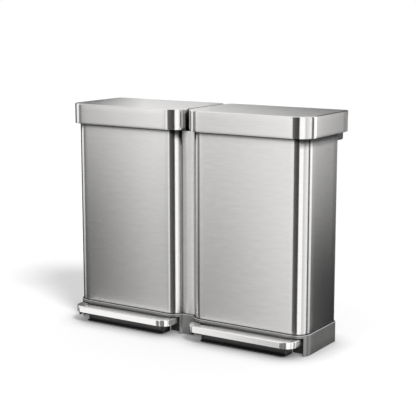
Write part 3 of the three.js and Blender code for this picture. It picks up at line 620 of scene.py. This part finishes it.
# The hinge housing: its section in depth and height runs along X, and shrinks to a point at both ends
# through a round edge. Faces are left out for the three slots and for the side that lies on the body.
def makeHingeHousing(side, node, low, high):
    middleX = (low.x + high.x) / 2
    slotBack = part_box(f"{side}_body_shell")[0].y + hingeBox["slotBack"]
    lower, upper, slotHalf = hingeBox["lower"], hingeBox["upper"], hingeBox["slotHalf"]
    section = join([
        [[low.y, low.z]],
        arcLine(high.y - lower, low.z + lower, lower, -90, 0, 6),
        arcLine(high.y - upper, high.z - upper, upper, 0, 90, 9),
        [[low.y, high.z]],
    ])
    shrink, edgeX = roundEdge(0, high.x, hingeBox["end"], 4)
    slotEdges = [middleX + slot + half for slot in hingeBox["slots"] for half in (-slotHalf, slotHalf)]
    stations = np.array(sorted([edgeX[0], *slotEdges, low.x + high.x - edgeX[0]]))
    stationX = join([low.x + high.x - edgeX[::-1][:-1], stations, edgeX[1:]])
    inset = join([shrink[::-1][:-1], np.zeros(len(stations)), shrink[1:]])
    rings = section[None] + inset[:, None, None] * outwardNormals(section)[None]
    centre = np.broadcast_to((section.min(0) + section.max(0)) / 2, rings[:1].shape)
    rings = join([centre, rings, centre])
    stationX = join([stationX[:1], stationX, stationX[-1:]])
    points = lift(rings, stationX[:, None])[..., [2, 0, 1]]
    uv = np.stack(np.broadcast_arrays(lengthAlong(section, True)[None], stationX[:, None]), 2)
    faceX = (stationX[:-1] + stationX[1:]) / 2 - middleX
    inSlot = (abs(faceX[:, None] - hingeBox["slots"][None]) < slotHalf).any(1)
    centres = (section + np.roll(section, -1, 0)) / 2
    openColumn = np.arange(len(section)) == len(section) - 1
    slotColumn = (centres[:, 1] > high.z - hingeBox["slotDeep"]) & (centres[:, 0] < slotBack) & ~openColumn
    between = np.ones(len(faceX), bool)
    between[[0, -1]] = False
    keep = ~((inSlot[:, None] & slotColumn[None]) | (openColumn[None] & between[:, None]))
    makePiece(f"{side}HingeHousing", gridPart(points, uv, keep=keep), "frame", node, "base_plastic",
              housingPlastic, hingeBox)


# A tray's outside: the floor spreads from its middle, turns up through a round edge and becomes the wall.
def trayRows(line, bottom, top, radius, extraHeights=()):
    turnOffset, turnHeight = roundEdge(0, 0, radius)
    turnOffset, turnHeight = turnOffset[::-1], bottom - turnHeight[::-1]
    wallHeights = np.sort(join([np.linspace(turnHeight[-1], top, 5)[1:], extraHeights]))
    offsets = join([turnOffset, np.zeros(len(wallHeights))])
    points, uv = profileSheet(line, offsets, join([turnHeight, wallHeights]))
    middle = (line.min(0) + line.max(0)) / 2
    share = np.array([0.0, 0.5])[:, None, None]
    floor = lift(middle + share * (points[0, :, :2] - middle)[None], bottom)
    return join([floor, points]), join([uv[:1], uv[:1], uv])


tub = inMetres(frontRadius=48, backRadius=14, thickness=2, hem=0.4, rimOut=3, curl=(0.6, 1.4), floorRadius=9,
               fingerY=(65, 145), fingerZ=(586, 608))


# The bucket: a tray whose top curls outwards into a rim, with a finger hole through both sides.
def makeBucket(side, node, low, high):
    plan = planOfNode(node, tub, tub["rimOut"])
    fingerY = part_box(f"{side}_body_shell")[0].y + tub["fingerY"]
    fingerZ, curl, wallTop = tub["fingerZ"], tub["curl"], high.z - tub["thickness"]
    line = roundedPlan(plan, stopY=fingerY)
    points, uv = trayRows(line, low.z, wallTop - tub["thickness"], tub["floorRadius"], fingerZ)
    rim, rimUv = profileSheet(line, [*curl, tub["rimOut"]], [wallTop - curl[0], wallTop, wallTop])
    points, uv = join([points, rim]), join([uv, rimUv])
    centres = (points[:-1] + points[1:]) / 2
    centres = (centres + np.roll(centres, -1, 1)) / 2
    x, y, z = np.moveaxis(centres, -1, 0)
    onSide = (abs(x - plan["left"]) < tiny) | (abs(x - plan["right"]) < tiny)
    hole = onSide & (y > fingerY[0]) & (y < fingerY[1]) & (z > fingerZ[0]) & (z < fingerZ[1])
    makePiece(f"{side}BucketTub", gridPart(points, uv, keep=~hole), "frame", node, "bucket_plastic",
              bucketPlastic, tub)


innerLid = inMetres(frontRadius=46.6, backRadius=9, thickness=2.5, hem=0.3, turn=4, plate=646, ribOut=6,
                    ribHalf=1, ribHem=0.5, ribBottom=606, ribRow=6, ribOverlap=1, ribBack=8, ribRadius=1)


# The inner lid: a shallow tray under the steel, and a rib that hangs round outside the body's edge.
def makeLiner(side, node, low, high):
    carried = (f"{side}_lid", node, "black_plastic", blackPlastic)
    line = roundedPlan(planOfNode(node, innerLid))
    tray = gridPart(*trayRows(line, innerLid["plate"], high.z, innerLid["turn"]))
    makePiece(f"{side}InnerLid", tray, *carried, innerLid)
    body = planOfNode(f"{side}_body_shell", bodySheet)
    body["back"], body["backRadius"] = high.y - innerLid["ribBack"], innerLid["ribRadius"]
    line = roundedPlan(body, innerLid["ribOut"])
    line = line[line[:, 1] < body["back"]]
    bottom, half = innerLid["ribBottom"], innerLid["ribHalf"]
    heights = [bottom, bottom + innerLid["ribRow"], innerLid["plate"] + innerLid["ribOverlap"]]
    rib = gridPart(*profileSheet(line, np.full(len(heights), half), heights, closed=False), wrap=False)
    makePiece(f"{side}InnerLidRib", rib, *carried, {"thickness": 2 * half, "hem": innerLid["ribHem"]})


collar = inMetres(out=2, chamfer=1.2, stepHalf=164, stepTop=607, bucketGap=1.5, skirtIn=1.5, skirt=14.3,
                  notch=(-14, 40))


# The rim collar: a closed section carried round the body's edge from one side of the rod's notch to the
# other. Its outer points follow the body's plan, and its inner points the bucket's.
def makeCollar(side, node, low, high):
    body = planOfNode(f"{side}_body_shell", bodySheet)
    inner = planOfNode(f"{side}_bucket", tub, tub["rimOut"])
    middle = (low.x + high.x) / 2
    step, notch = collar["stepHalf"], collar["notch"]
    outerLine = roundedPlan(body, stopX=(*notch, -step, step))
    outerRun, innerRun = (middle - plan["left"] - plan["backRadius"] for plan in (body, inner))
    innerStep = step * innerRun / outerRun  # the inner line gets its stop at the same share of its way
    innerLine = roundedPlan(inner, collar["bucketGap"], stopX=(*notch, -innerStep, innerStep))
    normals = outwardNormals(outerLine)
    atBack = outerLine[:, 1] > high.y - tiny
    fromMiddle = outerLine[:, 0] - middle
    out = np.where(atBack, 0.0, collar["out"])[:, None]
    top = np.where(atBack & (abs(fromMiddle) < step + tiny), collar["stepTop"], high.z)
    skirt = outerLine - normals * collar["skirtIn"]
    rows = [
        lift(outerLine + normals * out, low.z + collar["skirt"]),
        lift(outerLine + normals * out, top - collar["chamfer"]),
        lift(outerLine + normals * (out - collar["chamfer"]), top),
        lift(innerLine, top),
        lift(innerLine, low.z),
        lift(skirt, low.z),
        lift(skirt, low.z + collar["skirt"]),
    ]
    points = np.stack(rows + rows[:1])
    inNotch = atBack & (fromMiddle > notch[0] - tiny) & (fromMiddle < notch[1] + tiny)
    keep = np.broadcast_to(~(inNotch & np.roll(inNotch, -1))[None], (len(rows), len(outerLine)))
    band = gridPart(points, points[..., :2], keep=keep)
    makePiece(f"{side}RimCollar", band, "frame", node, "black_plastic", blackPlastic, closeHoles=True)


baseMould = inMetres(
    frontRadius=42, backRadius=16, thickness=3.2, hem=0.5, lipRadius=1.5, proud=4, wallRow=25,
    valleyRecess=24.5, notchHalf=178, kickHalf=138, notchTop=48, notchBack=24, deckTop=52, deck=3,
    deckGrow=0.6, deckCorner=(14, 12), deckEdge=0.2, overlap=1, ribs=(-161.5, -148.5, 148.5, 161.5),
    ribHalf=1.5, ribReach=9, ribEdge=0.3, posts=(-160, 160), postY=176, postRadius=11, postEdge=0.4,
    valleyOverlap=6, backWalls=((-182, -161), (-149, -136), (136, 149), (161, 182)), backWallY=30,
    backWallBottom=2, lowWalls=((-162, -148), (148, 162)), lowWallTop=20,
)


# Half of the base's outline: from the middle of the valley's back wall round the left bin to the middle of
# its front wall. The other half is its mirror image.
def baseLine():
    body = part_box("left_body_shell")
    low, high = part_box("base_housing")
    proud, recess = baseMould["proud"], baseMould["valleyRecess"]
    frontR, backR = baseMould["frontRadius"], baseMould["backRadius"]
    inner = body[1].x + proud
    valleyFront, valleyBack = body[0].y + recess - proud, body[1].y - recess + proud
    middle = (body[0].x + body[1].x) / 2
    left, cornerX, cornerY = low.x + frontR, inner - frontR, low.y + frontR
    meet = math.degrees(math.asin((valleyFront - cornerY) / frontR))
    notch = math.degrees(math.asin((middle + baseMould["notchHalf"] - cornerX) / frontR))
    rightCorner = np.unique(join([np.linspace(270, 360 + meet, 16), [270 + notch]]))
    leftCorner = np.unique(join([np.linspace(180, 270, 22), [270 - notch]]))
    kick = baseMould["kickHalf"]
    kickStops = [(middle + half - left) / (cornerX - left) for half in (-kick, kick)]
    halfLine = join([
        [[0.0, valleyBack], [inner, valleyBack]],
        arcLine(inner - backR, high.y - backR, backR, 0, 90, 10),
        betweenPoints((inner - backR, high.y), (low.x + backR, high.y), 6),
        arcLine(low.x + backR, high.y - backR, backR, 90, 180, 10),
        betweenPoints((low.x, high.y - backR), (low.x, cornerY), 4),
        circlePoints(left, cornerY, frontR, leftCorner),
        betweenPoints((left, low.y), (cornerX, low.y), 12, kickStops),
        circlePoints(cornerX, cornerY, frontR, rightCorner),
        [[0.0, valleyFront]],
    ])
    return join([halfLine, halfLine[::-1][1:-1] * np.array([-1, 1])])


# The deck under one bin: a plate with two cut-outs in its front corners, over the pedal's arms.
def deckLine(low, high):
    middle = (low.x + high.x) / 2
    grow = baseMould["deckGrow"]
    left, right, front, back = low.x - grow, high.x + grow, low.y - grow, high.y + grow
    notchBack = low.y + baseMould["notchBack"]
    kick, notch = baseMould["kickHalf"], baseMould["notchHalf"]
    frontCut, backCut = baseMould["deckCorner"]
    return np.array([
        [middle - kick, front], [middle + kick, front], [middle + kick, notchBack],
        [middle + notch, notchBack], [right, notchBack + frontCut], [right, back - backCut],
        [right - backCut, back], [left + backCut, back], [left, back - backCut],
        [left, notchBack + frontCut], [middle - notch, notchBack], [middle - kick, notchBack],
    ])


# Inside the base under one bin: the deck, the ribs that carry the pedal's axle, the dark walls behind the
# pedal's arms, with low ones under the lever's plates, and the posts over the rear feet.
def insideParts(side, floorZ):
    low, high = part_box(f"{side}_body_shell")
    middle = (low.x + high.x) / 2
    deckBottom = baseMould["deckTop"] - baseMould["deck"]
    underDeck = deckBottom + baseMould["overlap"]
    pivotLow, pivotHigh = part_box(f"{side}_pedal_axle")
    pivotY, pivotZ = (pivotLow.y + pivotHigh.y) / 2, (pivotLow.z + pivotHigh.z) / 2
    reach, half, edge = baseMould["ribReach"], baseMould["ribHalf"], baseMould["ribEdge"]
    wallFront = low.y + baseMould["backWallY"]
    walls = [(ends, underDeck) for ends in baseMould["backWalls"]]
    walls += [(ends, baseMould["lowWallTop"]) for ends in baseMould["lowWalls"]]
    parts = [slabPart(deckLine(low, high), deckBottom, baseMould["deckTop"], baseMould["deckEdge"], 1)]
    for x in baseMould["ribs"]:
        rib = boxLine(middle + x - half, middle + x + half, pivotY - reach, pivotY + reach)
        parts.append(slabPart(rib, pivotZ - reach, underDeck, edge, 1))
    for (first, last), top in walls:
        wall = boxLine(middle + first, middle + last, wallFront, wallFront + baseMould["deck"])
        parts.append(slabPart(wall, baseMould["backWallBottom"], top, edge, 1))
    for x in baseMould["posts"]:
        post = arcLine(middle + x, low.y + baseMould["postY"], baseMould["postRadius"], 0, 345, 23)
        parts.append(slabPart(post, floorZ, underDeck, baseMould["postEdge"], 2))
    return parts


# The base: a wall with a round lip on the outline, with its bottom left out over each pedal, and the parts
# inside it.
def makeBase():
    low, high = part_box("base_housing")
    line = baseLine()
    edgeOffset, edgeHeight = roundEdge(0, high.z, baseMould["lipRadius"])
    rowHeights = [low.z, baseMould["wallRow"], baseMould["notchTop"], baseMould["deckTop"]]
    offsets = join([np.zeros(len(rowHeights)), edgeOffset])
    heights = join([rowHeights, edgeHeight])
    points, uv = profileSheet(line, offsets, heights)
    centres = (line + np.roll(line, -1, 0)) / 2
    keep = np.ones((len(heights) - 1, len(line)), bool)
    parts = []
    for side in sides:
        bodyLow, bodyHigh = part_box(f"{side}_body_shell")
        fromMiddle = abs(centres[:, 0] - (bodyLow.x + bodyHigh.x) / 2)
        inNotch = (centres[:, 1] < bodyLow.y + baseMould["notchBack"]) & (fromMiddle < baseMould["notchHalf"])
        keep[:2, inNotch] = False
        keep[2, inNotch & (fromMiddle > baseMould["kickHalf"])] = False
        parts += insideParts(side, low.z)
    overlap, deckTop = baseMould["valleyOverlap"], baseMould["deckTop"]
    valley = boxLine(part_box("left_body_shell")[1].x - overlap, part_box("right_body_shell")[0].x + overlap,
                     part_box("front_bridge_panel")[0].y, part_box("rear_bridge_panel")[1].y)
    parts.append(slabPart(valley, deckTop - baseMould["deck"], deckTop, baseMould["deckEdge"], 1))
    carried = ("frame", "base_housing", "base_plastic")
    makePiece("baseMoulding", gridPart(points, uv, keep=keep), *carried, basePlastic, baseMould)
    makePiece("baseInside", joinParts(*parts), *carried, housingPlastic)


bridge = inMetres(gap=0.3, thickness=1, hem=0.2)


# A bridge panel: a level line across the gap between the bodies. The front panel's ends follow the bodies'
# round corners, and the rear panel's ends are straight.
def makeBridge(node, name, atFront):
    low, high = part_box(node)
    body = planOfNode("left_body_shell", bodySheet)
    radius = body["frontRadius"] + bridge["gap"]
    if atFront:
        cornerX, cornerY = body["right"] - body["frontRadius"], body["front"] + body["frontRadius"]
        meet = math.degrees(math.asin((low.y - cornerY) / radius))
        leftEnd, webY = arcLine(cornerX, cornerY, radius, 0, meet, 8), low.y
    else:
        edgeX = body["right"] + bridge["gap"]
        leftEnd, webY = np.array([[edgeX, low.y], [edgeX, high.y]]), high.y
    line = join([leftEnd, [[0.0, webY]], leftEnd[::-1] * np.array([-1, 1])])
    line = line if atFront else line[::-1]
    heights = np.linspace(low.z, high.z, 9)
    panel = gridPart(*profileSheet(line, np.zeros(len(heights)), heights, closed=False), wrap=False)
    makePiece(name, panel, "frame", node, "brushed_steel", panelSteel, bridge)


# Each maker gets its side, its node and the low and high corners of the node's box.
makers = {
    "body_shell": makeBody, "lid_shell": makeLid, "pedal_cover": makePedal, "kick_plate": makeKickPlate,
    "hinge_housing": makeHingeHousing, "bucket": makeBucket, "lid_liner": makeLiner, "rim_collar": makeCollar,
}
for side in sides:
    for ending, make in makers.items():
        node = f"{side}_{ending}"
        make(side, node, *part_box(node))
makeBase()
makeBridge("front_bridge_panel", "frontBridge", True)
makeBridge("rear_bridge_panel", "rearBridge", False)

# The other nodes keep their own shape and get these finishes.
finishBySlot = {
    "brushed_steel": lidSteel, "pedal_steel": pedalSteel, "zinc_steel": zincSteel, "black_steel": blackSteel,
    "base_plastic": basePlastic, "black_plastic": blackPlastic, "bucket_plastic": bucketPlastic,
    "rubber": rubber,
}
slotOfNode = {part["node"]: part["material_slot"] for part in frame["record"]["subparts"]}
for node, item in frame["nodes"].items():
    finish = blackSteel if node.endswith("pedal_lever") else finishBySlot[slotOfNode[node]]
    if not item.material_slots:
        item.data.materials.append(finish)
    for place in item.material_slots:
        place.material = finish
print("finishes set on the carried pieces")

view = {"place": (1.73647, -2.70554, 0.94522), "turn": 32.398, "tilt": 10.294, "lens": 97.6}
cameraData = bpy.data.cameras.new("camera")
cameraData.lens = view["lens"]
cameraData.sensor_width = 36
cameraData.clip_end = 50
camera = addObject("camera", cameraData)
camera.location = view["place"]
camera.rotation_euler = (math.radians(90 - view["tilt"]), 0, math.radians(view["turn"]))
scene.camera = camera

studio = {
    "floorColour": 0.80, "floorGlow": 0.17, "shadeReach": 0.075, "shadeDepth": 0.15, "floorReach": 30.0,
    "ambient": 0.64, "backdrop": 1.0, "above": 1.2, "below": 0.04, "fade": (-0.25, 0.05),
}


# 1 for rays from the camera and for rays that glass lets through, else 0.
def seenRay(tree, path):
    return calculate(tree, "MAXIMUM", path["Is Camera Ray"], path["Is Transmission Ray"])


# The floor: matt paper with a painted shadow close to the object, and a little glow that only the camera
# sees.
def makeFloor():
    reach = studio["floorReach"]
    floor = addMesh("floor", lift(boxLine(-reach, reach, -reach, reach), 0), [(0, 1, 2, 3)])
    material, tree = newMaterial("paperFloor")
    # painted shadow: the paper is darker where the object is near
    openness = put(tree, "AmbientOcclusion", {"Distance": studio["shadeReach"]}, samples=8)
    colour = mixColours(tree, openness.outputs["AO"], grey(studio["shadeDepth"] * studio["floorColour"]),
                        grey(studio["floorColour"]))
    paper = put(tree, "BsdfDiffuse", {"Color": colour})
    seen = seenRay(tree, put(tree, "LightPath").outputs)
    strength = spread(tree, seen, 0.0, studio["floorGlow"])
    glow = put(tree, "Emission", {"Color": grey(1.0), "Strength": strength})
    total = put(tree, "AddShader", {0: paper.outputs[0], 1: glow.outputs[0]})
    put(tree, "OutputMaterial", {"Surface": total.outputs[0]})
    floor.data.materials.append(material)
    floor.visible_glossy = False


# The studio round the object. Seen straight it is white. Metal and gloss see it fade to dark below the
# horizon, and matt surfaces get one plain level from all sides.
def makeWorld():
    world = bpy.data.worlds.new("studio")
    scene.world = world
    world.use_nodes = True
    tree = world.node_tree
    tree.nodes.clear()
    path = put(tree, "LightPath").outputs
    up = partOf(tree, put(tree, "TexCoord").outputs["Generated"], "Z")
    fade = spread(tree, up, studio["below"], studio["above"], *studio["fade"], "SMOOTHSTEP")
    unseen = mixValues(tree, path["Is Glossy Ray"], studio["ambient"], fade)
    strength = mixValues(tree, seenRay(tree, path), unseen, studio["backdrop"])
    background = put(tree, "Background", {"Color": grey(1.0), "Strength": strength})
    put(tree, "OutputWorld", {"Surface": background.outputs[0]})


keyLight = {"tilt": 42, "turn": 58, "spread": 16, "strength": 1.95}


# The key light stands at the right, in front and above. It is wide, so that its shadow is soft.
def makeKeyLight():
    data = bpy.data.lights.new("key", "SUN")
    data.energy = keyLight["strength"]
    data.angle = math.radians(keyLight["spread"])
    item = addObject("key", data)
    item.rotation_euler = (math.radians(keyLight["tilt"]), 0, math.radians(keyLight["turn"]))
    item.visible_glossy = False
    item.visible_camera = False


# Cards that only metal and gloss see: upright planes from one place on the floor to another. levels are the
# light (low, high) at the first end, and at the last end where they differ there. heights are where the
# light begins and ends to change.
def card(first, last, levels, lastLevels=None, heights=(-0.6, 0.4), bottom=-3.0, top=3.0):
    return {"ends": (first, last), "levels": (levels, lastLevels or levels), "heights": heights,
            "rows": (bottom, top)}


overLid = {"heights": (0.65, 0.85), "bottom": 0.65, "top": 0.86}
cards = {
    "backFlag": card((0.9, 1.6), (-0.7, 1.75), (0.05, 0.05), bottom=0.55, top=2.0),
    "backGlow": card((0.9, 1.6), (-0.7, 1.75), (0.0, 0.75), heights=(-0.6, 0.55), top=0.55),
    "leftBackFlag": card((-0.7, 1.75), (-2.2, 0.05), (0.02, 0.06), (0.02, 0.10), (-0.4, 0.4), top=1.2),
    "leftStrip": card((-2.2, 0.0), (-2.2, -0.9), (0.2, 1.3)),
    "leftFlag": card((-2.2, -1.0), (-2.05, -2.0), (0.05, 0.3), (0.05, 0.4)),
    "leftWallOuter": card((-2.05, -2.0), (-1.28, -2.0), (0.02, 0.76), (0.72, 1.56), (-0.18, 0.52)),
    "leftWallInner": card((-1.28, -2.0), (-0.40, -2.03), (0.25, 0.89), (1.10, 1.46), (-0.5, 0.45)),
    "frontFlag": card((-0.40, -2.03), (0.83, -1.15), (0.17, 0.20), (0.04, 0.05)),
    "rightStrip": card((0.83, -1.15), (1.30, -0.66), (1.35, 1.45)),
    "rightFill": card((1.30, -0.66), (1.60, 0.18), (0.70, 0.80), (1.35, 1.45)),
    "rightFlag": card((1.60, 0.20), (1.52, 0.60), (0.10, 0.15)),
    "rightGlint": card((1.52, 0.60), (1.05, 1.00), (0.7, 1.7), heights=(-0.3, 0.5)),
    "sideFade": card((0.9, 0.80), (0.9, 1.5), (0.03, 1.0), (0.01, 0.12), (0.0, 0.5)),
    "leftLidGlow": card((-0.13, 0.24), (-0.38, 0.24), (0.72, 0.85), (0.85, 1.05), **overLid),
    "leftLidShade": card((-0.38, 0.24), (-0.60, 0.24), (0.85, 1.05), (0.0, 0.05), **overLid),
    "leftLidEnd": card((-0.60, 0.24), (-0.85, 0.24), (0.0, 0.05), (0.1, 0.3), **overLid),
    "rightLidShade": card((0.34, 0.24), (-0.13, 0.24), (0.15, 0.25), (0.60, 0.75), **overLid),
}
# Low cards right in front of each pedal, with a dark one for the line at its right corner: where each one
# begins and ends in X, and its light at both ends.
pedalCards = {
    "leftPedalCard": (-0.368, -0.075, 1.10, 1.10), "leftPedalFlag": (-0.073, -0.062, 0.08, 0.08),
    "rightPedalCard": (0.036, 0.329, 1.00, 0.60), "rightPedalFlag": (0.331, 0.342, 0.08, 0.08),
}
pedalCardY = -0.150
pedalCardRows = {"bottom": -0.06, "top": 0.047}
for name, (firstX, lastX, first, last) in pedalCards.items():
    ends = ((firstX, pedalCardY), (lastX, pedalCardY))
    cards[name] = card(*ends, (first, first), (last, last), **pedalCardRows)


# A card carries, as uv, the share of the way from end to end and the height's share.
def makeCard(name, values):
    start, stop = values["heights"]
    corners = [(end, values["rows"][row]) for end, row in ((0, 0), (1, 0), (1, 1), (0, 1))]
    points = [(*values["ends"][end], z) for end, z in corners]
    uv = [(end, (z - start) / (stop - start)) for end, z in corners]
    item = addMesh(name, points, [(0, 1, 2, 3)], "card", uv)
    material, tree = newMaterial(name)
    split = put(tree, "SeparateXYZ", {0: put(tree, "TexCoord").outputs["UV"]}).outputs
    atFirst, atLast = (spread(tree, split["Y"], low, high) for low, high in values["levels"])
    strength = mixValues(tree, split["X"], atFirst, atLast)
    glow = put(tree, "Emission", {"Color": grey(1.0), "Strength": strength})
    put(tree, "OutputMaterial", {"Surface": glow.outputs[0]})
    item.data.materials.append(material)
    for kind in ("camera", "diffuse", "shadow", "transmission", "volume_scatter"):
        setattr(item, f"visible_{kind}", False)


makeFloor()
makeWorld()
makeKeyLight()
for name, values in cards.items():
    makeCard(name, values)
scene.view_settings.view_transform = "Standard"
print("studio ready")
